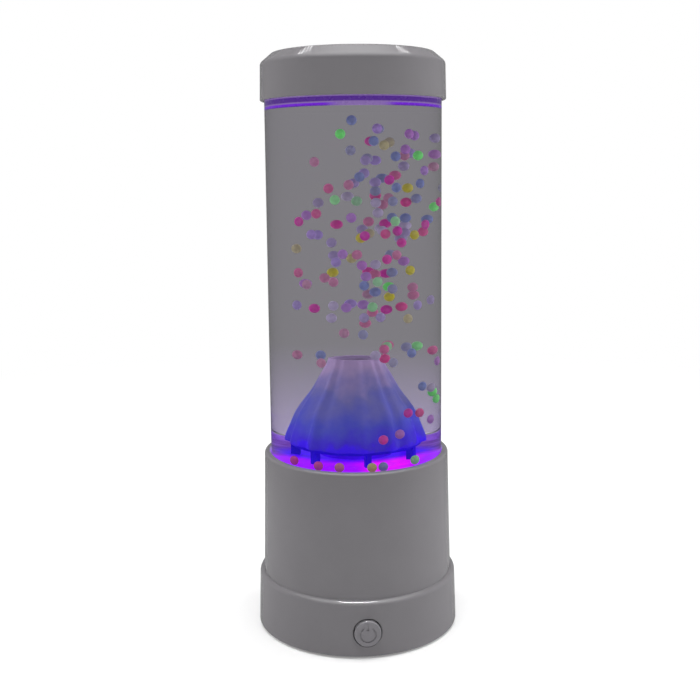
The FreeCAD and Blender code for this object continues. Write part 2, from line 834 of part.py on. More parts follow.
def riser_tube():
    """Cover over the impeller that gathers the water into a tube up to the crater."""
    dome_z = stand_z + riser_dome_h
    cone_z = dome_z + riser_cone_h
    wall = riser_wall
    return [turned([(riser_flange_r, stand_z), (riser_flange_r, stand_z + riser_flange_t),
                    (riser_dome_r + wall, stand_z + riser_flange_t), (riser_dome_r + wall, dome_z + wall / 2),
                    (riser_outer_r, cone_z + wall / 2), (riser_outer_r, riser_top_z), (riser_r, riser_top_z),
                    (riser_r, cone_z), (riser_dome_r, dome_z), (riser_dome_r, stand_z)])]


def flute(angle, height):
    """Offset of the mountain's face: uneven gullies that fade towards the crest and drift with height."""
    drift = height * 0.012
    coarse = math.cos(flute_count * angle + 0.9 + drift)
    fine = math.cos(fine_flute_count * angle + 2.1 - drift)
    broad = math.cos(broad_flute_count * angle + 0.4)
    return 0.55 * coarse + 0.25 * fine + 0.2 * broad


def mountain_section(height, radius, top):
    """Closed smooth section of the mountain at one height."""
    depth = flute_depth * (1 - flute_fade * height / top)
    points = []
    for i in range(flute_points):
        angle = 2 * math.pi * i / flute_points
        reach = radius + depth * flute(angle, height)
        points.append(V(reach * math.cos(angle), reach * math.sin(angle), stand_z + height))
    curve = Part.BSplineCurve()
    curve.interpolate(Points=points, PeriodicFlag=True)
    return Part.Wire(curve.toShape())


def mountain():
    """Hollow fluted mountain; its crater is the riser's mouth."""
    top = mountain_outline[-1][0]
    outer = Part.makeLoft([mountain_section(h, r, top) for h, r in mountain_outline], True, False)
    wall = mountain_wall + flute_depth
    inner = [(0, stand_z)] + [(r - wall, stand_z + h) for h, r in mountain_outline[:-1]]
    crest_z = mountain_top_z - crest_t
    inner = [point for point in inner if point[1] < crest_z]
    inner += [(riser_outer_r, crest_z), (riser_outer_r, mountain_top_z + 1), (0, mountain_top_z + 1)]
    return [outer.cut(turned(inner))]


def mountain_reach(z):
    """The mountain's mean radius at a level, or 0 above it."""
    height = z - stand_z
    if height > mountain_outline[-1][0]:
        return 0.0
    if height < 0:
        return mountain_outline[0][1]
    for (low, r_low), (high, r_high) in zip(mountain_outline, mountain_outline[1:]):
        if height <= high:
            return r_low + (r_high - r_low) * (height - low) / (high - low)
    return 0.0


def bead_fits(place, placed):
    """Whether a bead is in the water, off the mountain and the other beads, and out of the clear corner."""
    x, y, z = place
    radius = bead_d / 2
    from_axis = math.hypot(x, y)
    if from_axis > tank_bore_r - radius - bead_gap:
        return False
    in_front = y + radius < clear_front_y
    if z > lid_z - (front_top_gap if in_front else bead_top_gap) or z < floor_z + radius:
        return False
    if not in_front and z > clear_left_z - radius and x < clear_left_x + radius:
        return False
    level_gap = radius + bead_gap + flute_depth
    near = max(mountain_reach(z - radius), mountain_reach(z), mountain_reach(z + radius))
    if near and from_axis < near + level_gap:
        return False
    if from_axis < mountain_outline[-1][1] and z < mountain_top_z + radius + bead_gap:
        return False
    return all(math.dist(place, other) > bead_d + bead_gap for other in placed)


def bead_groups(dice):
    """How many beads each group has, and how one of its beads is drawn."""
    high = lid_z - front_top_gap
    low = mountain_top_z + plume_above_crest

    def forward(front, back):
        """A depth between two, most often near the front."""
        return front + (back - front) * dice.random() ** 1.7

    def plume():
        share = dice.random() ** 0.9
        x = dice.gauss(6.5 + 9.0 * share, 10.5 + 3.0 * share)
        return (x, forward(-38.0, 16.0), low + (high - low) * share)

    def falling():
        angle = math.radians(dice.uniform(-80, 5))
        reach = dice.uniform(30, 38)
        return (reach * math.cos(angle), reach * math.sin(angle), dice.uniform(floor_z + 14, mountain_top_z))

    def stray():
        return (dice.uniform(-33, -10), forward(-38.0, -10.0), dice.uniform(low + 10, high - 18))

    def crater():
        return (dice.gauss(9, 16), forward(-34.0, 8.0), mountain_top_z + dice.uniform(1, 10))

    def fallen():
        angle = math.radians(dice.uniform(-170, -10))
        reach = dice.uniform(33, 39)
        return (reach * math.cos(angle), reach * math.sin(angle), floor_z + bead_d / 2)

    return ((plume_beads, plume), (falling_beads, falling), (stray_beads, stray), (crater_beads, crater),
            (floor_beads, fallen))


def bead_places():
    """Centres of all beads, drawn in turn; each draw that doesn't fit is repeated."""
    dice = random.Random(bead_seed)
    placed = []
    for count, draw in bead_groups(dice):
        wanted = len(placed) + count
        for _ in range(20000):
            if len(placed) == wanted:
                break
            place = draw()
            if bead_fits(place, placed):
                placed.append(place)
        if len(placed) < wanted:
            raise ValueError("the beads don't fit in the tank")
    return placed


def beads():
    """Beads sorted by colour, one group of solids for each."""
    dice = random.Random(bead_seed + 1)
    groups = {colour: [] for colour in bead_shares}
    for place in bead_places():
        colour = dice.choices(list(bead_shares), list(bead_shares.values()))[0]
        groups[colour].append(Part.makeSphere(bead_d / 2, V(*place)))
    return groups


def inner_lid():
    """Cup-shaped plug that seals the tube, with a seal groove and three pegs for the cap."""
    groove_z = lid_z + seal_above_lid
    half = seal_r + groove_gap
    groove_r = tank_bore_r - seal_gap - 2 * seal_r - groove_gap
    cup = turned([(0, lid_z), (lid_r, lid_z), (lid_r, groove_z - half), (groove_r, groove_z - half),
                  (groove_r, groove_z + half), (lid_r, groove_z + half), (lid_r, tube_top_z),
                  (tank_r, tube_top_z), (tank_r, flange_top_z), (lid_inner_r, flange_top_z),
                  (lid_inner_r, lid_floor_z), (0, lid_floor_z)])
    cup = round_rings(cup, edge_break, [(lid_r, lid_z)])
    pegs = []
    for x, y in around(peg_count, peg_circle_r, 90):
        pegs.append(ring(peg_r, peg_r - peg_wall, lid_z + lid_floor_t / 2, cap_roof_z - peg_gap, x, y))
    body = fuse([cup] + pegs)
    return [body]


def lid_seal():
    return [Part.makeTorus(tank_bore_r - seal_gap - seal_r, seal_r, V(0, 0, lid_z + seal_above_lid))]


def top_cap():
    """Opaque cap over the lid: bevelled shell with a step that bears on the lid and sockets for its pegs."""
    step_r = cap_bore_r - cap_step
    roof_r = cap_top_r - cap_roof_t / 3
    shell = turned([(cap_bore_r, cap_z), (cap_bottom_r, cap_z), (cap_wall_top_r, cap_shoulder_z),
                    (cap_top_r, cap_top_z), (0, cap_top_z), (0, cap_roof_z), (roof_r, cap_roof_z),
                    (step_r, cap_shoulder_z - cap_wall), (step_r, flange_top_z), (cap_bore_r, flange_top_z)])
    shell = round_rings(shell, cap_edge_round, [(cap_bottom_r, cap_z)])
    shell = round_rings(shell, cap_corner_round, [(cap_wall_top_r, cap_shoulder_z)])
    shell = round_rings(shell, cap_top_round, [(cap_top_r, cap_top_z)])
    solids = [shell]
    in_roof_z = cap_roof_z + cap_roof_t / 2
    for x, y in around(peg_count, peg_circle_r, 90):
        solids.append(ring(peg_r + socket_wall, peg_r, cap_roof_z - peg_grip, in_roof_z, x, y))
    return [fuse(solids)]


def lead(route, name):
    """Flexible lead: straight runs joined by arcs that take 0.45 of the shorter run at each corner.

    Prints its length, its tightest bend, and its volume over that of its section along its length.
    """
    points = [V(*p) for p in route]
    edges = []
    start = points[0]
    radii = []
    for before, corner, after in zip(points, points[1:], points[2:]):
        back = (before - corner).normalize()
        ahead = (after - corner).normalize()
        half_turn = (math.pi - back.getAngle(ahead)) / 2
        tangent = 0.45 * min((before - corner).Length, (after - corner).Length)
        radius = tangent / math.tan(half_turn)
        radii.append(radius)
        inward = (back + ahead).normalize()
        middle = corner + inward * (radius / math.cos(half_turn) - radius)
        arc_start = corner + back * tangent
        arc_end = corner + ahead * tangent
        edges.append(Part.LineSegment(start, arc_start).toShape())
        edges.append(Part.Arc(arc_start, middle, arc_end).toShape())
        start = arc_end
    edges.append(Part.LineSegment(start, points[-1]).toShape())
    path = Part.Wire(edges)
    section = Part.Wire(Part.Circle(points[0], points[1] - points[0], lead_r).toShape())
    tube = path.makePipeShell([section], True, False)
    share = tube.Volume / (math.pi * lead_r ** 2 * path.Length)
    print(f"{name}: length {path.Length:.1f}, least radius {min(radii):.1f}, volume share {share:.4f}")
    return tube


def motor_leads():
    """Two leads from their connector to the motor's terminals."""
    low = board_top_z + connector_size[2]
    high = end_cap_z - terminal_size[2] + end_cap_t
    tubes = []
    for side in (-1, 1):
        x = side * terminal_spread
        foot = motor_plug_x + side * connector_size[0] / 4
        y = motor_plug_y
        route = [(foot, y, low), (foot, y, low + 6.0), ((foot + x) / 2, y / 2, low + 12.5),
                 (x, 0, high - 5.0), (x, 0, high)]
        tubes.append(lead(route, "motor lead"))
    return tubes


def led_lead():
    """Lead from its connector up through the deck to the light ring's board."""
    y = board_back_y - connector_size[1] / 2
    low = board_top_z + connector_size[2]
    x = led_lead_x
    end = led_lead_y
    route = [(x, y, low), (x, y, low + 7.0), (x + 7.0, (y + end) / 2 - 3.0, low + 15.0),
             (x + 9.0, end - 5.0, low + 25.0), (x + 9.0, end - 6.5, low + 36.0),
             (x + 1.0, end - 0.7, deck_under_z - 7.0), (x, end, deck_under_z), (x, end, led_board_z)]
    return [lead(route, "light ring lead")]


def inlet_lead():
    """Lead from the inlet's back to its connector on the control board."""
    y = board_back_y
    middle = board_top_z + connector_size[2] / 2
    gap = inlet_back - y
    route = [(0, inlet_back, inlet_z), (0, inlet_back - gap * 0.2, inlet_z),
             (1.8, inlet_back - gap * 0.4, inlet_z - 1.0), (1.8, inlet_back - gap * 0.6, middle - 1.0),
             (0, y + gap * 0.2, middle), (0, y, middle)]
    return [lead(route, "inlet lead")]


MAKERS = (base_housing, base_skirt, bottom_cover, rubber_feet, cover_screws, power_button, switch_body,
          switch_plunger, control_board, board_screws, board_components, power_inlet, inlet_pin, inlet_nut,
          led_board, led_board_screws, led_chips, tank_seat_ring, tank_tube, tank_floor, motor_can,
          motor_end_cap, motor_bushes, motor_terminals, motor_magnets, motor_rotor, motor_shaft, motor_damper,
          motor_bracket, bracket_screws, magnet_holder, drive_magnets, impeller, impeller_magnets,
          impeller_bush, impeller_axle, axle_clip, mountain_stand, riser_tube, mountain, inner_lid, lid_seal,
          top_cap, motor_leads, led_lead, inlet_lead)


def pieces():
    """Every piece as a list of solids, under the name of its function or of its beads' colour."""
    made = {make.__name__: make() for make in MAKERS}
    made.update(("beads_" + colour, solids) for colour, solids in beads().items())
    return made


def main():
    os.makedirs("parts", exist_ok=True)
    for name, solids in pieces().items():
        shape = Part.makeCompound(solids) if len(solids) > 1 else solids[0]
        if not shape.isValid() or len(shape.Solids) != len(solids):
            raise ValueError(f"{name} isn't {len(solids)} valid solids")
        shape.exportStep(os.path.join("parts", name + ".step"))


main()
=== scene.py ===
"""A mountain mood light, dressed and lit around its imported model.

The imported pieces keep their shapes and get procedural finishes. The clear tube and the water's top
are modelled here. A plain studio with a pale floor stands round the lamp.
"""

import math

import bmesh
import bpy
from bpy.props import FloatProperty, FloatVectorProperty, IntProperty, PointerProperty
from mathutils import Matrix, Vector


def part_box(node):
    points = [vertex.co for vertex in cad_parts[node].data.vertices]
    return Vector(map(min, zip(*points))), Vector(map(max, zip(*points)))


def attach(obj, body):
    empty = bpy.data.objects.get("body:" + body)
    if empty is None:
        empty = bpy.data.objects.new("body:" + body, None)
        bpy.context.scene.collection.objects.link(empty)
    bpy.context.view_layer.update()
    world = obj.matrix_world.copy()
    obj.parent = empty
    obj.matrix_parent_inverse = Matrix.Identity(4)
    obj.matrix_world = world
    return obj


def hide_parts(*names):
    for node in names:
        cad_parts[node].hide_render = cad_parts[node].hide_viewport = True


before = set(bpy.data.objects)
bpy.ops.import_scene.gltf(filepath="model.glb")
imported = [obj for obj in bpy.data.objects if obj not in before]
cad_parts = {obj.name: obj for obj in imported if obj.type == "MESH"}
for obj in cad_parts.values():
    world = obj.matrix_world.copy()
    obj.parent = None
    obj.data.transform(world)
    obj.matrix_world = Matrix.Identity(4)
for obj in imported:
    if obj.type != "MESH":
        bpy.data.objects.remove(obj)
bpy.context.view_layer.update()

bl_info = {
    "name": "Mountain Mood Light",
    "version": (1, 0, 0),
    "blender": (4, 5, 0),
    "location": "3D View > Sidebar > Mood Light",
    "description": "Dresses a mountain mood light and sets up its studio",
    "category": "Object",
}


# Colours and settings

def shade(red, green, blue):
    """A colour written as it shows, 0 to 255 a channel, as linear light."""
    def linear(value):
        value /= 255
        return value / 12.92 if value <= 0.04045 else ((value + 0.055) / 1.055) ** 2.4
    return linear(red), linear(green), linear(blue)


def colour(name, description, value):
    """A colour setting."""
    return FloatVectorProperty(name=name, description=description, default=value,
                               size=3, min=0.0, max=1.0, subtype="COLOR")


def length(name, description, value):
    """A length setting, in metres."""
    return FloatProperty(name=name, description=description, default=value, min=0.0,
                         subtype="DISTANCE", unit="LENGTH")


def share(name, description, value):
    """A setting from 0 to 1."""
    return FloatProperty(name=name, description=description, default=value, min=0.0, max=1.0,
                         subtype="FACTOR")


def amount(name, description, value, least=0.0):
    """A number setting, from its least value up."""
    return FloatProperty(name=name, description=description, default=value, min=least)


def angle(name, description, degrees):
    """An angle setting, written in degrees."""
    return FloatProperty(name=name, description=description, default=math.radians(degrees),
                         subtype="ANGLE", unit="ROTATION")


class CasingSettings(bpy.types.PropertyGroup):
    """The base's shells, the cap and the button."""
    shell: colour("Shell", "Glossy moulded shells and cap", shade(112, 110, 113))
    button: colour("Button", "Push button", shade(116, 114, 118))
    cover: colour("Cover", "Bottom cover", shade(104, 102, 106))
    gloss: share("Roughness", "Roughness of the shells", 0.06)
    peel: length("Orange peel", "Height of the moulded surface's faint waves", 0.000008)


class TankSettings(bpy.types.PropertyGroup):
    """The clear tube and the water."""
    wall: length("Wall", "Thickness of the tube's wall", 0.003)
    edge: length("Edge bevel", "Bevel on the tube's cut edges", 0.0004)
    steps: IntProperty(name="Steps", description="Steps round the tube", default=192, min=32)
    acrylic: amount("Acrylic index", "Refraction of the tube in air", 1.49, 1.0)
    water: amount("Water index", "Refraction of the water", 1.333, 1.0)
    film: length("Film", "Thickness of the drawn top of the water", 0.0005)
    # Painted shade and light: the far wall darkens what shows through it to grey high in the tank,
    # and lays a painted lilac haze of the violet light low down
    painted_dusk: colour("Dusk", "What the far wall lets through, high in the tank", shade(128, 126, 131))
    painted_haze: colour("Haze", "What the far wall lets through, low in the tank", shade(158, 148, 177))
    painted_haze_foot: length("Haze foot", "Height where the haze starts to thin", 0.095)
    painted_haze_top: length("Haze top", "Height where the haze ends", 0.145)


class GlowSettings(bpy.types.PropertyGroup):
    """The violet light under the tank and at the lid."""
    violet: colour("Violet", "Light at the tank's floor", shade(150, 0, 255))
    magenta: colour("Magenta", "Light at the tank's floor, right of the middle", shade(214, 0, 250))
    blue: colour("Blue", "Light in the mountain's shadow", shade(60, 0, 225))
    bore: colour("Bore", "Light on the base's bore, round the tank's foot", shade(112, 66, 182))
    dim: colour("Dim violet", "Lid's side, away from its edge", shade(74, 27, 134))
    line: colour("Line", "Lid's lit edge", shade(108, 0, 208))
    # Painted highlight: the lid's lit edge turns pale at three places round it, and its side in two
    # bands
    pale: colour("Pale", "Lid's edge nearest its pegs", shade(132, 104, 168))
    floor_light: amount("Floor light", "Strength of the light in the tank's floor", 1.15)
    bore_light: amount("Bore light", "Strength of the light on the base's bore", 1.5)
    lid_light: amount("Lid light", "Strength of the light in the lid", 0.9)
    chip_light: amount("Chip light", "Strength of the lights on their board", 2.0)


class MountainSettings(bpy.types.PropertyGroup):
    """The mountain, its stand and its riser."""
    # Colour with painted light in it: the bands turn bluer towards the foot, nearest the violet
    # light, and palest at the crest
    crest: colour("Crest", "Round the crater", shade(120, 104, 139))
    flank: colour("Flank", "Upper slopes", shade(80, 79, 130))
    slope: colour("Slope", "Lower slopes", shade(57, 60, 146))
    foot: colour("Foot", "Foot, nearest the light", shade(48, 22, 166))
    glow: colour("Glow", "Light in the foot, the stand and the riser", shade(36, 0, 216))
    stand_light: amount("Stand light", "Strength of the light in the stand", 0.5)
    riser_light: amount("Riser light", "Strength of the light in riser and impeller", 0.75)


class BeadSettings(bpy.types.PropertyGroup):
    """The loose beads."""
    pink: colour("Pink", "Pink beads", shade(150, 50, 102))
    lilac: colour("Lilac", "Lilac beads", shade(112, 94, 148))
    blue: colour("Blue", "Blue beads", shade(82, 90, 132))
    green: colour("Green", "Green beads", shade(84, 170, 88))
    white: colour("White", "Pale beads", shade(126, 117, 144))
    yellow: colour("Yellow", "Yellow beads", shade(138, 130, 38))
    magenta: colour("Magenta", "Light that tints part of the beads", shade(140, 30, 122))
    veil: colour("Veil", "Water's tint that dulls part of the beads", shade(112, 106, 122))
    light: amount("Light", "Strength of the light in the beads", 0.45)


class StudioSettings(bpy.types.PropertyGroup):
    """The camera, the light from all round and the floor."""
    distance: length("Distance", "From the lamp's axis to the camera", 0.5301)
    height: length("Height", "Camera's height over the floor", 0.23925)
    turn: angle("Turn", "How far the camera stands to the lamp's left", 5.3)
    pitch: angle("Pitch", "How far the camera looks down", 7.7)
    roll: angle("Roll", "Roll that moves the lamp's foot right", 0.58)
    yaw: angle("Yaw", "How far the camera looks left of the lamp", 0.274)
    lens: amount("Lens", "Focal length on a 36 mm sensor, in millimetres", 52.68, 1.0)
    shift: FloatProperty(name="Shift", description="Upright shift of the picture", default=-0.06)
    ambient: amount("Ambient", "Even light from all round", 0.43)
    horizon: amount("Horizon", "What gloss sees level with the lamp", 0.2)
    zenith: amount("Zenith", "What gloss sees high up, in front", 3.6)
    lean: angle("Lean", "How far in front of straight up that is", 20)
    pale: colour("Pale", "The floor near the lamp", (0.64, 0.64, 0.64))
    floor: length("Floor", "Half the floor's width", 6.0)
    near: length("Near floor", "Radius of the floor that shows the lamp's shadow", 0.15)
    far: length("Far floor", "Radius past which the floor is plain white", 0.8)
    sheen: share("Floor in gloss", "How much of the floor's light gloss sees", 0.35)
    lift: share("Near lift", "White added to the near floor, where it carries the shadow", 0.17)


# Building finishes

IN_WATER = 1.12  # refraction of clear plastic against water
NOISE_REACH = (0.3, 0.7)  # nearly all of a noise's values lie between these
LAY = 12.0  # how much finer a tool's marks are along the axis than round it
CREASE = math.radians(20)  # edges sharper than this stay sharp
BLACK = (0.0, 0.0, 0.0)
WHITE = (1.0, 1.0, 1.0)


class Nodes:
    """A tree of shader nodes while it is put together."""

    def __init__(self, owner):
        owner.use_nodes = True
        self.tree = owner.node_tree
        self.tree.nodes.clear()

    def node(self, kind, inputs=None, **settings):
        """Add a node, with its settings and what goes into its sockets."""
        made = self.tree.nodes.new("ShaderNode" + kind)
        for key, value in settings.items():
            setattr(made, key, value)
        for key, value in (inputs or {}).items():
            self.put(made.inputs[key], value)
        return made

    def put(self, socket, value):
        """Link an output to a socket, or set the socket's value."""
        if isinstance(value, bpy.types.NodeSocket):
            self.tree.links.new(value, socket)
        elif socket.type == "RGBA" and len(value) == 3:
            socket.default_value = (*value, 1.0)
        else:
            socket.default_value = value

    def sums(self, operation, first, second=0.0):
        """One calculation on two numbers."""
        made = self.node("Math", operation=operation)
        self.put(made.inputs[0], first)
        self.put(made.inputs[1], second)
        return made.outputs["Value"]

    def product(self, first, *others):
        """Numbers multiplied together."""
        for other in others:
            first = self.sums("MULTIPLY", first, other)
        return first

    def span(self, value, low, high, start=0.0, end=1.0, smooth=False):
        """A value from low to high, as one from start to end."""
        made = self.node("MapRange", {"Value": value, "From Min": low, "From Max": high,
                                      "To Min": start, "To Max": end},
                         interpolation_type="SMOOTHSTEP" if smooth else "LINEAR")
        return made.outputs["Result"]

    def fall(self, value, low, high, smooth=False):
        """A value from low to high, as one from 1 down to 0."""
        return self.span(value, low, high, 1.0, 0.0, smooth)

    def blend(self, factor, first, second, **settings):
        """A colour between two others."""
        made = self.node("Mix", data_type="RGBA", **settings)
        self.put(made.inputs["Factor"], factor)
        self.put(made.inputs[6], first)
        self.put(made.inputs[7], second)
        return made.outputs[2]

    def between(self, factor, first, second):
        """A number between two others."""
        return self.node("Mix", {"Factor": factor, "A": first, "B": second}).outputs["Result"]

    def mixed(self, factor, first, second):
        """Two shaders mixed."""
        made = self.node("MixShader", {"Fac": factor})
        self.put(made.inputs[1], first)
        self.put(made.inputs[2], second)
        return made.outputs["Shader"]


class Finish(Nodes):
    """One procedural material."""

    def __init__(self, name):
        self.material = bpy.data.materials.new(name)
        super().__init__(self.material)
        self.out = self.node("OutputMaterial").inputs["Surface"]
        self.place = self.node("TexCoord").outputs["Object"]

    def dimmed(self, tone, kept):
        """A colour of which this share is kept."""
        return self.blend(1 - kept, tone, BLACK)

    def noise(self, size, detail=2.0, place=None):
        """Noise whose features are about this large, in metres."""
        made = self.node("TexNoise", {"Vector": place or self.place, "Scale": 1 / size,
                                      "Detail": detail})
        return made.outputs["Fac"]

    def uneven(self, noise, start, end):
        """Noise spread over a range of values."""
        return self.span(noise, *NOISE_REACH, start, end)

    def ramp(self, factor, stops):
        """A colour from (position, colour) stops."""
        made = self.node("ValToRGB", {"Fac": factor})
        points = made.color_ramp.elements
        while len(points) < len(stops):
            points.new(1.0)
        for point, (position, value) in zip(points, stops):
            point.position = position
            point.color = (*value, 1.0)
        return made.outputs["Color"]

    def across(self):
        """The piece's X, Y and Z."""
        return self.node("SeparateXYZ", {"Vector": self.place}).outputs

    def radius(self):
        """The distance from the lamp's axis."""
        x, y, _ = self.across()
        return self.sums("SQRT", self.sums("ADD", self.product(x, x), self.product(y, y)))

    def bump(self, value, depth, strength=1.0):
        """A bump of this depth, in metres."""
        made = self.node("Bump", {"Height": value, "Distance": depth, "Strength": strength})
        return made.outputs["Normal"]

    def surface(self, **inputs):
        """The Principled surface, with sockets named in words joined by underscores."""
        named = {key.replace("_", " "): value for key, value in inputs.items()}
        made = self.node("BsdfPrincipled")
        for key, value in named.items():
            name = key if key in made.inputs else key.title().replace("Ior", "IOR")
            self.put(made.inputs[name], value)
        self.put(self.out, made.outputs["BSDF"])


def lighter(value, gain):
    """A colour made lighter by a share, or darker where the share is below 0."""
    return tuple(min(1.0, channel * (1 + gain)) for channel in value)


def moulded(name, value, roughness, peel, mottle=0.04, lit=None, strength=0.0):
    """Moulded plastic: a faint mottle, uneven gloss, the mould's fine waves and any light on it."""
    finish = Finish(name)
    clouds = finish.noise(size=0.018, detail=3.0)
    tone = finish.blend(clouds, lighter(value, -mottle), lighter(value, mottle))
    smudges = finish.noise(size=0.009, detail=4.0)
    gloss = finish.uneven(smudges, roughness - 0.02, roughness + 0.02)
    waves = finish.noise(size=0.0022)
    light = {} if lit is None else {"emission_color": lit(finish), "emission_strength": strength}
    finish.surface(base_color=tone, roughness=gloss, normal=finish.bump(waves, peel), **light)
    return finish.material


def textured(name, value, roughness, grain, depth, mottle=0.08):
    """Matt plastic, rubber or nylon with a fine pebbled grain."""
    finish = Finish(name)
    clouds = finish.noise(size=0.006, detail=3.0)
    tone = finish.blend(clouds, lighter(value, -mottle), lighter(value, mottle))
    pebbles = finish.noise(grain)
    gloss = finish.span(pebbles, 0.2, 0.8, roughness - 0.06, roughness + 0.06)
    finish.surface(base_color=tone, roughness=gloss, normal=finish.bump(pebbles, depth))
    return finish.material


def metal(name, value, roughness, marks, depth):
    """Metal with tooling marks that run round the piece."""
    finish = Finish(name)
    squeezed = finish.node("Mapping", {"Vector": finish.place, "Scale": (1.0, 1.0, LAY)})
    lines = finish.noise(marks, detail=3.0, place=squeezed.outputs["Vector"])
    tone = finish.blend(lines, lighter(value, -0.1), lighter(value, 0.06))
    gloss = finish.span(lines, 0.25, 0.75, roughness - 0.05, roughness + 0.08)
    finish.surface(base_color=tone, roughness=gloss, metallic=1.0,
                   normal=finish.bump(lines, depth))
    return finish.material


def clear(name, index, behind=None):
    """Clear plastic or water that lamps and bounced light pass straight through."""
    finish = Finish(name)
    tint = WHITE
    # Where given, behind paints shade: what shows through is darkened where a ray leaves the wall
    if behind is not None:
        leaving = finish.node("NewGeometry").outputs["Backfacing"]
        tint = finish.blend(leaving, WHITE, behind(finish))
    glass = finish.node("BsdfGlass", {"Color": tint, "Roughness": 0.0, "IOR": index})
    open_way = finish.node("BsdfTransparent")
    rays = finish.node("LightPath").outputs
    passing = finish.sums("MAXIMUM", rays["Is Shadow Ray"], rays["Is Diffuse Ray"])
    finish.put(finish.out, finish.mixed(passing, glass.outputs["BSDF"], open_way.outputs["BSDF"]))
    return finish.material


def floor_hue(finish, glow):
    """The light at the tank's floor: violet, magenta right of the middle, blue in the shadow."""
    starts, ends = (-0.004, 0.006), (0.019, 0.029)  # of the magenta, in metres along X
    front = (-0.018, -0.004)  # of the shadow, in metres along Y
    bow = 20.0  # how strongly that front bows back at the sides, per metre
    x, y, _ = finish.across()
    right = finish.span(x, *starts, smooth=True)
    inward = finish.fall(x, *ends, smooth=True)
    lit = finish.blend(finish.product(right, inward), glow.violet, glow.magenta)
    behind = finish.sums("SUBTRACT", y, finish.product(x, x, bow))
    shadow = finish.span(behind, *front, smooth=True)
    return finish.blend(shadow, lit, glow.blue)


def dress(material, *names):
    """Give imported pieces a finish."""
    for name in names:
        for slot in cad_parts[name].material_slots:
            slot.material = material


def place_mesh(shape, name, materials):
    """Make a bmesh an object of the scene, smooth but for its creases, at the origin."""
    for face in shape.faces:
        face.smooth = True
    for edge in shape.edges:
        if edge.calc_face_angle(0.0) > CREASE:
            edge.smooth = False
    mesh = bpy.data.meshes.new(name)
    shape.to_mesh(mesh)
    shape.free()
    for material in materials:
        mesh.materials.append(material)
    piece = bpy.data.objects.new(name, mesh)
    bpy.context.scene.collection.objects.link(piece)
    return piece


def turned(outline, steps):
    """A closed outline of (radius, height) points, turned once round the lamp's axis."""
    shape = bmesh.new()
    points = [shape.verts.new((radius, 0.0, height)) for radius, height in outline]
    face = shape.faces.new(points)
    bmesh.ops.delete(shape, geom=[face], context="FACES_ONLY")
    bmesh.ops.spin(shape, geom=shape.verts[:] + shape.edges[:], cent=(0, 0, 0), axis=(0, 0, 1),
                   angle=2 * math.pi, steps=steps, use_merge=True)
    bmesh.ops.remove_doubles(shape, verts=shape.verts, dist=1e-7)
    bmesh.ops.recalc_face_normals(shape, faces=shape.faces)
    return shape


# The pieces

class MOODLIGHT_OT_casing(bpy.types.Operator):
    """Finish the base's two shells and the cap as glossy moulded plastic"""
    bl_idname = "moodlight.casing"
    bl_label = "Casing"

    def execute(self, context):
        casing = context.scene.moodlight_casing
        glow = context.scene.moodlight_glow
        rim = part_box("base_housing")[1].z
        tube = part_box("tank_tube")[1].x
        wall = (tube + 0.0006, tube + 0.0012)  # radius where the light on the bore ends
        foot = (rim - 0.012, rim - 0.009)  # height where it starts
        top = (rim, rim + 0.001)  # height where it ends
        rear = (-0.01, 0.01)  # where it starts along Y

        def lit(finish):
            """The floor's light on the bore's rear half, up to the rim."""
            inside = finish.fall(finish.radius(), *wall)
            height = finish.across()["Z"]
            low = finish.span(height, *foot)
            high = finish.fall(height, *top)
            behind = finish.span(finish.across()["Y"], *rear)
            there = finish.product(inside, low, finish.product(high, behind))
            spots = finish.span(finish.noise(size=0.004, detail=3.0), 0.35, 0.65)
            return finish.blend(there, BLACK, finish.blend(spots, glow.bore, glow.dim))

        shell = moulded("shell_plastic_gloss", casing.shell, casing.gloss, casing.peel,
                        lit=lit, strength=glow.bore_light)
        dress(shell, "base_housing", "base_skirt", "top_cap")
        return {"FINISHED"}


class MOODLIGHT_OT_button(bpy.types.Operator):
    """Finish the push button and the switch behind it"""
    bl_idname = "moodlight.button"
    bl_label = "Power Button"

    def execute(self, context):
        casing = context.scene.moodlight_casing
        button = moulded("button_plastic_gloss", casing.button, casing.gloss, casing.peel)
        dress(button, "power_button")
        black = textured("switch_plastic", shade(30, 30, 32), roughness=0.5, grain=0.0006,
                         depth=0.00001)
        dress(black, "switch_body", "switch_plunger")
        return {"FINISHED"}


class MOODLIGHT_OT_underside(bpy.types.Operator):
    """Finish the bottom cover with its feet and screws, and the ring the tank sits on"""
    bl_idname = "moodlight.underside"
    bl_label = "Underside"

    def execute(self, context):
        casing = context.scene.moodlight_casing
        cover = textured("cover_plastic_grain", casing.cover, roughness=0.5, grain=0.0009,
                         depth=0.00003)
        dress(cover, "bottom_cover")
        rubber = textured("black_rubber_grain", shade(38, 38, 40), roughness=0.75, grain=0.0007,
                          depth=0.00003)
        dress(rubber, "rubber_feet", "tank_seat_ring", "motor_damper")
        zinc = metal("zinc_steel_plate", shade(172, 174, 176), roughness=0.35, marks=0.0012,
                     depth=0.000006)
        dress(zinc, "cover_screws", "board_screws", "led_board_screws", "bracket_screws",
              "motor_can")
        return {"FINISHED"}


class MOODLIGHT_OT_inlet(bpy.types.Operator):
    """Finish the power inlet, its pin and its nut"""
    bl_idname = "moodlight.inlet"
    bl_label = "Power Inlet"

    def execute(self, context):
        black = textured("inlet_plastic", shade(32, 32, 34), roughness=0.42, grain=0.0008,
                         depth=0.00001)
        dress(black, "power_inlet", "motor_bracket", "board_components")
        nickel = metal("nickel_plate", shade(196, 190, 178), roughness=0.22, marks=0.0008,
                       depth=0.000004)
        dress(nickel, "inlet_pin", "inlet_nut")
        return {"FINISHED"}


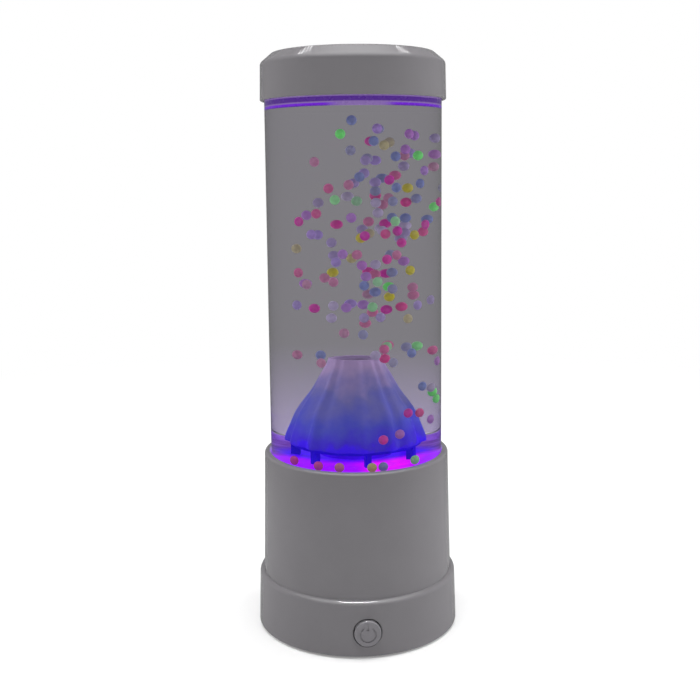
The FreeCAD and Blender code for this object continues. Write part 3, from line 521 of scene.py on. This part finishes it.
class MOODLIGHT_OT_tank(bpy.types.Operator):
    """Model the clear tube and the top of the water, and light the clear floor"""
    bl_idname = "moodlight.tank"
    bl_label = "Tank"

    def execute(self, context):
        tank = context.scene.moodlight_tank
        low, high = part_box("tank_tube")
        outer = high.x
        inner = outer - tank.wall
        self.make_tube(tank, inner, outer, low.z, high.z)
        self.make_water_top(tank, inner)
        self.light_floor(context.scene.moodlight_glow)
        return {"FINISHED"}

    def make_tube(self, tank, inner, outer, foot, top):
        """The tube, with one finish against the air and one against the water."""
        edge = tank.edge
        outline = [(inner + edge, foot), (outer - edge, foot), (outer, foot + edge),
                   (outer, top - edge), (outer - edge, top), (inner + edge, top),
                   (inner, top - edge), (inner, foot + edge)]
        shape = turned(outline, tank.steps)
        for face in shape.faces:
            centre = face.calc_center_median()
            is_bore = Vector((centre.x, centre.y)).length < inner + edge / 4
            face.material_index = 1 if is_bore else 0
        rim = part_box("base_housing")[1].z
        over_rim = (rim + 0.0011, rim + 0.0014)  # the painted shade starts here, so the rim stays bright

        def painted_dusk(finish):
            """The far wall's painted shade: grey high in the tank, with a painted lilac haze of the
            violet light low down.
            """
            height = finish.across()["Z"]
            thinned = finish.span(height, tank.painted_haze_foot, tank.painted_haze_top)
            over = finish.span(height, *over_rim)
            return finish.blend(over, WHITE, finish.blend(thinned, tank.painted_haze, tank.painted_dusk))

        walls = [clear("acrylic_in_air", tank.acrylic, painted_dusk),
                 clear("acrylic_in_water", tank.acrylic / tank.water)]
        tube = place_mesh(shape, "tank_tube_clear", walls)
        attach(tube, "root")
        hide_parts("tank_tube")

    def make_water_top(self, tank, inner):
        """A thin disc just under the lid: its top bends light, its sides and foot do nothing."""
        gap = 0.0001
        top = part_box("inner_lid")[0].z - gap
        outline = [(0.0, top - tank.film), (inner - gap, top - tank.film), (inner - gap, top),
                   (0.0, top)]
        shape = turned(outline, tank.steps)
        for face in shape.faces:
            face.material_index = 0 if face.normal.z > 0.5 else 1
        still = Finish("water_inside")
        still.put(still.out, still.node("BsdfTransparent").outputs["BSDF"])
        skin = clear("water_in_air", tank.water)
        surface = place_mesh(shape, "water_top", [skin, still.material])
        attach(surface, "root")

    def light_floor(self, glow):
        """The clear floor, lit violet by the ring of lights under it."""
        rear = (-0.004, 0.01)  # the mottled light starts here, in metres along Y
        ring = (0.027, 0.033)  # and this far from the axis
        finish = Finish("acrylic_floor_lit")
        ripples = finish.noise(size=0.006)
        spots = finish.span(finish.noise(size=0.004, detail=3.0), 0.3, 0.6)
        mottled = finish.blend(spots, glow.bore, glow.dim)
        behind = finish.span(finish.across()["Y"], *rear, smooth=True)
        outer = finish.span(finish.radius(), *ring)
        tone = finish.blend(finish.product(behind, outer), floor_hue(finish, glow), mottled)
        level = finish.uneven(ripples, 0.85, 1.15)
        light = finish.blend(1.0, tone, level, blend_type="MULTIPLY")
        finish.surface(base_color=shade(12, 0, 24), roughness=0.3, ior=IN_WATER,
                       specular_ior_level=0.1, emission_color=light,
                       emission_strength=glow.floor_light,
                       normal=finish.bump(ripples, depth=0.00005))
        dress(finish.material, "tank_floor")


class MOODLIGHT_OT_lid(bpy.types.Operator):
    """Finish the inner lid, which glows violet at its lower edge, and its seal"""
    bl_idname = "moodlight.lid"
    bl_label = "Inner Lid"

    def execute(self, context):
        glow = context.scene.moodlight_glow
        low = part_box("inner_lid")[0].z
        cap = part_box("top_cap")[0].z
        pale_highlights = 3.0  # painted highlights: the lit edge turns pale at this many places, evenly round the lid
        near_highlight = (0.25, 0.85)  # values of the cosine over which it turns pale
        line, side_start = (0.0, 0.1), (0.26, 0.34)  # shares of the way up to the cap
        finish = Finish("lid_plastic_lit")
        x, y, height = finish.across()
        turn = finish.sums("ARCTAN2", x, y)
        near = finish.product(finish.sums("COSINE", finish.product(turn, pale_highlights)), -1.0)
        up = finish.span(height, low, cap)
        lit = finish.blend(finish.span(up, *line), glow.dim, glow.line)
        edge = finish.blend(finish.span(near, *near_highlight, smooth=True), lit, glow.pale)
        # Painted highlights on the side: pale just above the lit edge and just under the cap, dim
        # violet between
        side = finish.ramp(up, [(0.0, glow.pale), (0.4, glow.pale), (0.48, glow.dim),
                                (0.9, glow.dim), (0.97, glow.pale)])
        tone = finish.blend(finish.span(up, *side_start), edge, side)
        clouds = finish.noise(size=0.004)
        gloss = finish.uneven(clouds, 0.2, 0.32)
        finish.surface(base_color=shade(34, 18, 56), roughness=gloss,
                       emission_color=tone, emission_strength=glow.lid_light,
                       normal=finish.bump(clouds, depth=0.00002))
        dress(finish.material, "inner_lid")
        # The seal's violet is painted light, the lid's violet glow laid into its colour
        rubber = textured("seal_rubber_lit", shade(84, 43, 140), roughness=0.6, grain=0.0008,
                          depth=0.00002)
        dress(rubber, "lid_seal")
        return {"FINISHED"}


class MOODLIGHT_OT_mountain(bpy.types.Operator):
    """Finish the mountain from its pale crest to its lit blue foot, and the pieces under it"""
    bl_idname = "moodlight.mountain"
    bl_label = "Mountain"

    def execute(self, context):
        hues = context.scene.moodlight_mountain
        low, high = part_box("mountain")
        wander = 0.12  # how far the bands of colour wander, as a share of the height
        foot_top, foot_share = 0.08, 0.35  # how high and how strongly the foot glows
        finish = Finish("mountain_resin_lit")
        height = finish.span(finish.across()["Z"], low.z, high.z)
        drift = finish.uneven(finish.noise(size=0.012, detail=3.0), -wander, wander)
        up = finish.sums("ADD", height, drift)
        # The ramp is the mountain's colour with painted light: bluer towards the lit foot, palest at
        # the crest
        tone = finish.ramp(up, [(0.0, hues.foot), (0.3, hues.slope), (0.62, hues.flank),
                                (0.9, hues.crest), (1.0, lighter(hues.crest, 0.1))])
        # Painted glow: the emission keeps part of the colour all over and adds the glow's blue low
        # on the foot
        glowing = finish.span(up, 0.0, foot_top, foot_share, 0.0, smooth=True)
        light = finish.blend(glowing, finish.dimmed(tone, 0.3), hues.glow)
        grain = finish.noise(size=0.0035, detail=5.0)
        gloss = finish.uneven(grain, 0.45, 0.65)
        finish.surface(base_color=tone, roughness=gloss, ior=IN_WATER,
                       emission_color=light, emission_strength=1.0,
                       normal=finish.bump(grain, depth=0.0006, strength=0.6))
        dress(finish.material, "mountain")
        self.lit_plastic("mountain_stand", lambda made: hues.glow, hues.stand_light)
        glow = context.scene.moodlight_glow
        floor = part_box("tank_floor")[1].z
        windows = (floor + 0.003, floor + 0.005)  # height where the stand's windows end
        crater = (low.z, low.z + 0.01)  # height where the crater's colour starts

        def riser(made):
            """Blue behind the windows, and the crest's colour where the crater shows it."""
            height = made.across()["Z"]
            foot = made.blend(made.span(height, *windows), glow.blue, hues.glow)
            return made.blend(made.span(height, *crater), foot, hues.crest)

        self.lit_plastic("riser_tube", riser, hues.riser_light)
        self.lit_plastic("impeller", lambda made: glow.blue, hues.riser_light)
        return {"FINISHED"}

    def lit_plastic(self, name, hue, strength):
        """Plastic that takes the light of the floor below it, unevenly."""
        finish = Finish(name + "_lit")
        clouds = finish.noise(size=0.005)
        tone = finish.blend(finish.uneven(clouds, 0.0, 0.3), hue(finish), BLACK)
        gloss = finish.uneven(clouds, 0.35, 0.5)
        finish.surface(base_color=finish.dimmed(tone, 0.4), roughness=gloss, ior=IN_WATER,
                       emission_color=tone, emission_strength=strength,
                       normal=finish.bump(clouds, depth=0.00002))
        dress(finish.material, name)


class MOODLIGHT_OT_beads(bpy.types.Operator):
    """Finish the six colours of loose beads"""
    bl_idname = "moodlight.beads"
    bl_label = "Beads"

    def execute(self, context):
        hues = context.scene.moodlight_beads
        veiled = 0.7  # how much of its colour the dullest bead loses
        magenta = {"pink": 0.9, "lilac": 0.4}  # how much of it the reddest bead takes
        for hue in ("pink", "lilac", "blue", "green", "white", "yellow"):
            finish = Finish("bead_plastic_" + hue)
            lot = finish.node("NewGeometry").outputs["Random Per Island"]
            redder = finish.span(lot, 0.0, 0.5, magenta.get(hue, 0.0), 0.0)
            duller = finish.span(lot, 0.5, 1.0, 0.0, veiled)
            tone = finish.blend(redder, getattr(hues, hue), hues.magenta)
            tone = finish.blend(duller, tone, hues.veil)
            clouds = finish.uneven(finish.noise(size=0.003, detail=1.0), 0.0, 0.2)
            tone = finish.blend(clouds, tone, hues.veil)
            grain = finish.noise(size=0.0012)
            gloss = finish.uneven(grain, 0.32, 0.5)
            finish.surface(base_color=finish.dimmed(tone, 0.7), roughness=gloss, ior=IN_WATER,
                           emission_color=tone, emission_strength=hues.light,
                           normal=finish.bump(grain, depth=0.00002))
            dress(finish.material, "beads_" + hue)
        return {"FINISHED"}


class MOODLIGHT_OT_pump(bpy.types.Operator):
    """Finish the motor, its magnets and its drive"""
    bl_idname = "moodlight.pump"
    bl_label = "Pump"

    def execute(self, context):
        nylon = textured("white_nylon_grain", shade(214, 213, 208), roughness=0.5, grain=0.0012,
                         depth=0.00001, mottle=0.03)
        dress(nylon, "motor_end_cap", "magnet_holder")
        bronze = metal("sintered_bronze", shade(176, 142, 88), roughness=0.4, marks=0.0006,
                       depth=0.00001)
        dress(bronze, "motor_bushes", "motor_terminals", "impeller_bush")
        ferrite = textured("ferrite_magnet", shade(52, 52, 55), roughness=0.55, grain=0.0007,
                           depth=0.00002)
        dress(ferrite, "motor_magnets")
        laminations = metal("rotor_laminations", shade(120, 121, 126), roughness=0.42,
                            marks=0.0005, depth=0.00002)
        dress(laminations, "motor_rotor")
        steel = metal("ground_steel", shade(196, 197, 200), roughness=0.16, marks=0.0006,
                      depth=0.000003)
        dress(steel, "motor_shaft", "impeller_axle", "axle_clip")
        plate = metal("magnet_nickel_plate", shade(188, 187, 182), roughness=0.2, marks=0.001,
                      depth=0.000004)
        dress(plate, "drive_magnets", "impeller_magnets")
        return {"FINISHED"}


class MOODLIGHT_OT_electronics(bpy.types.Operator):
    """Finish the two boards, the lights and the internal leads"""
    bl_idname = "moodlight.electronics"
    bl_label = "Electronics"

    def execute(self, context):
        mask = moulded("green_solder_mask", shade(34, 98, 58), roughness=0.32, peel=0.00001,
                       mottle=0.12)
        dress(mask, "control_board")
        white = moulded("white_solder_mask", shade(212, 212, 216), roughness=0.35, peel=0.00001)
        dress(white, "led_board")
        sheath = textured("lead_sheath_grain", shade(34, 34, 36), roughness=0.5, grain=0.001,
                          depth=0.00001)
        dress(sheath, "motor_leads", "led_lead", "inlet_lead")
        glow = context.scene.moodlight_glow
        finish = Finish("light_package")
        clouds = finish.noise(size=0.001)
        tone = finish.blend(clouds, glow.violet, lighter(glow.violet, 0.3))
        gloss = finish.uneven(clouds, 0.15, 0.3)
        finish.surface(base_color=shade(200, 190, 220), roughness=gloss,
                       emission_color=tone, emission_strength=glow.chip_light,
                       normal=finish.bump(clouds, depth=0.00001))
        dress(finish.material, "led_chips")
        return {"FINISHED"}


# The stage

LAMPS_AIM = (0.0, 0.0, 0.16)
BRIGHT_SKY = (0.55, 1.0)  # gloss sees the sky brighten over this part of its height
SKYLINE = (-0.01, 0.01)  # the even light starts over this part, and none comes from below

# Name, place in metres, width in metres, power in watts
SOFT_LAMPS = (
    ("lamp_overhead", (0.0, -0.1, 1.3), 0.8, 15.0),
    ("lamp_front", (-0.35, -1.5, 0.8), 1.2, 7.0),
    ("lamp_left", (-1.21, 0.7, 0.4), 0.8, 16.0),
    ("lamp_right", (1.38, 0.24, 0.4), 0.8, 19.0),
    ("lamp_back", (0.1, 1.4, 0.9), 0.9, 3.0),
    ("lamp_below", (0.0, 0.001, -1.0), 0.8, 6.0),
)

# Name, first place, last place, how many, power of each in watts, radius of each in metres
GLINT_ROWS = (
    ("glint_left", (-0.308, 0.465, 0.986), (-0.267, 0.397, 1.047), 4, 0.02, 0.004),
    ("glint_right", (0.396, 0.416, 0.973), (0.354, 0.365, 1.027), 4, 0.02, 0.004),
    ("glint_front", (-0.22, -0.25, 0.85), (0.15, -0.28, 0.85), 10, 3.6, 0.014),
)


class MOODLIGHT_OT_stage(bpy.types.Operator):
    """Set up the pale floor, the soft lamps, the world and the camera"""
    bl_idname = "moodlight.stage"
    bl_label = "Stage"

    def execute(self, context):
        studio = context.scene.moodlight_studio
        self.make_floor(studio)
        self.make_world(studio)
        self.make_lamps()
        self.make_camera(studio)
        context.scene.view_settings.view_transform = "Standard"
        return {"FINISHED"}

    def make_floor(self, studio):
        """A wide pale floor that reads white, keeps the shadow and lets light up from below."""
        shape = bmesh.new()
        bmesh.ops.create_grid(shape, x_segments=1, y_segments=1, size=studio.floor)
        finish = Finish("studio_floor")
        rays = finish.node("LightPath").outputs
        mottle = 1 / 32
        grain = finish.noise(size=0.4)
        tone = finish.blend(grain, lighter(studio.pale, -mottle), lighter(studio.pale, mottle))
        eye = finish.sums("MAXIMUM", rays["Is Camera Ray"], rays["Is Transmission Ray"])
        # A ray through glass counts as glossy too, and is left out here
        gloss = finish.sums("GREATER_THAN", rays["Is Glossy Ray"], eye)
        plain = finish.span(finish.radius(), studio.near, studio.far, smooth=True)
        seen = finish.sums("MAXIMUM", eye, gloss)
        hidden = finish.sums("ADD", finish.product(gloss, 1 - studio.sheen),
                             finish.product(seen, plain))
        white = finish.product(eye, finish.span(plain, 0.0, 1.0, studio.lift, 1.0))
        mirrored = finish.product(gloss, finish.product(plain, studio.horizon))
        diffuse = finish.node("BsdfDiffuse", {"Color": finish.blend(hidden, tone, BLACK)})
        glow = finish.node("Emission", {"Color": WHITE,
                                        "Strength": finish.sums("ADD", white, mirrored)})
        added = finish.node("AddShader", {0: diffuse.outputs["BSDF"], 1: glow.outputs["Emission"]})
        open_way = finish.node("BsdfTransparent")
        below = finish.node("NewGeometry").outputs["Backfacing"]
        passing = finish.sums("MAXIMUM", below, rays["Is Shadow Ray"])
        finish.put(finish.out, finish.mixed(passing, added.outputs["Shader"],
                                            open_way.outputs["BSDF"]))
        place_mesh(shape, "studio_floor", [finish.material])

    def make_world(self, studio):
        """White behind the lamp, a dimmer horizon for gloss, and even light for the rest."""
        world = bpy.data.worlds.new("studio_world")
        bpy.context.scene.world = world
        sky = Nodes(world)
        way = sky.node("TexCoord").outputs["Generated"]
        tilt = sky.node("VectorRotate", {"Vector": way, "Angle": -studio.lean},
                        rotation_type="X_AXIS")
        high = sky.node("SeparateXYZ", {"Vector": tilt.outputs["Vector"]}).outputs["Z"]
        mirrored = sky.span(high, *BRIGHT_SKY, studio.horizon, studio.zenith)
        flat = sky.node("SeparateXYZ", {"Vector": way}).outputs["Z"]
        even = sky.span(flat, *SKYLINE, 0.0, studio.ambient)
        rays = sky.node("LightPath").outputs
        level = sky.between(rays["Is Glossy Ray"], even, mirrored)
        level = sky.between(rays["Is Transmission Ray"], level, 1.0)
        level = sky.between(rays["Is Camera Ray"], level, 1.0)
        shell = sky.node("Background", {"Color": WHITE, "Strength": level})
        sky.node("OutputWorld", {"Surface": shell.outputs["Background"]})

    def make_lamps(self):
        """Soft lamps from all round, and rows of small ones for glints."""
        for name, place, size, power in SOFT_LAMPS:
            lamp = self.make_lamp(name, "AREA", Vector(place), power)
            lamp.data.shape = "SQUARE"
            lamp.data.size = size
            lamp.visible_glossy = False
            lamp.visible_transmission = False
            aim = (lamp.location - Vector(LAMPS_AIM)).to_track_quat("Z", "Y")
            lamp.matrix_world = Matrix.Translation(place) @ aim.to_matrix().to_4x4()
        skirt = bpy.data.collections.new("lit_by_glint_front")
        for name in ("base_skirt", "power_button"):
            skirt.objects.link(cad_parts[name])
        for name, first, last, count, power, size in GLINT_ROWS:
            for number in range(count):
                place = Vector(first).lerp(Vector(last), number / (count - 1))
                lamp = self.make_lamp(f"{name}_{number + 1}", "POINT", place, power)
                lamp.data.shadow_soft_size = size
                lamp.visible_diffuse = False
                lamp.visible_transmission = False
                if name == "glint_front":
                    lamp.light_linking.receiver_collection = skirt

    def make_lamp(self, name, kind, place, power):
        """One lamp at a place."""
        data = bpy.data.lights.new(name, kind)
        data.energy = power
        lamp = bpy.data.objects.new(name, data)
        lamp.location = place
        bpy.context.scene.collection.objects.link(lamp)
        return lamp

    def make_camera(self, studio):
        """A camera at the photograph's place, with its turn, pitch and roll."""
        turn, pitch = studio.turn, studio.pitch
        place = Vector((-studio.distance * math.sin(turn), -studio.distance * math.cos(turn),
                        studio.height))
        heading = turn - studio.yaw
        right = Vector((math.cos(heading), -math.sin(heading), 0.0))
        level = Vector((math.sin(heading), math.cos(heading), 0.0))
        up = level * math.sin(pitch) + Vector((0.0, 0.0, math.cos(pitch)))
        rolled_right = right * math.cos(studio.roll) - up * math.sin(studio.roll)
        rolled_up = right * math.sin(studio.roll) + up * math.cos(studio.roll)
        back = rolled_right.cross(rolled_up)
        data = bpy.data.cameras.new("photo_camera")
        data.lens = studio.lens
        data.shift_y = studio.shift
        data.clip_start = 0.01
        data.clip_end = 50.0
        camera = bpy.data.objects.new("photo_camera", data)
        turned_to = Matrix((rolled_right, rolled_up, back)).transposed()
        camera.matrix_world = Matrix.Translation(place) @ turned_to.to_4x4()
        bpy.context.scene.collection.objects.link(camera)
        bpy.context.scene.camera = camera


# The panel and registration

SETTINGS = {
    "moodlight_casing": CasingSettings,
    "moodlight_tank": TankSettings,
    "moodlight_glow": GlowSettings,
    "moodlight_mountain": MountainSettings,
    "moodlight_beads": BeadSettings,
    "moodlight_studio": StudioSettings,
}

OPERATORS = (
    MOODLIGHT_OT_casing,
    MOODLIGHT_OT_button,
    MOODLIGHT_OT_underside,
    MOODLIGHT_OT_inlet,
    MOODLIGHT_OT_tank,
    MOODLIGHT_OT_lid,
    MOODLIGHT_OT_mountain,
    MOODLIGHT_OT_beads,
    MOODLIGHT_OT_pump,
    MOODLIGHT_OT_electronics,
    MOODLIGHT_OT_stage,
)


class MOODLIGHT_PT_panel(bpy.types.Panel):
    """The mood light's settings and steps"""
    bl_idname = "MOODLIGHT_PT_panel"
    bl_label = "Mood Light"
    bl_space_type = "VIEW_3D"
    bl_region_type = "UI"
    bl_category = "Mood Light"

    def draw(self, context):
        for name, group in SETTINGS.items():
            box = self.layout.box()
            for key in group.__annotations__:
                box.prop(getattr(context.scene, name), key)
        for operator in OPERATORS:
            self.layout.operator(operator.bl_idname)


def register():
    """Register the settings, operators and panel."""
    for name, group in SETTINGS.items():
        bpy.utils.register_class(group)
        setattr(bpy.types.Scene, name, PointerProperty(type=group))
    for made in (*OPERATORS, MOODLIGHT_PT_panel):
        bpy.utils.register_class(made)


def unregister():
    """Take away what register added."""
    for made in (MOODLIGHT_PT_panel, *reversed(OPERATORS)):
        bpy.utils.unregister_class(made)
    for name, group in SETTINGS.items():
        delattr(bpy.types.Scene, name)
        bpy.utils.unregister_class(group)


def main():
    """Dress every piece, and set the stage."""
    register()
    for operator in OPERATORS:
        group, step = operator.bl_idname.split(".")
        getattr(getattr(bpy.ops, group), step)()


if __name__ == "__main__":
    main()
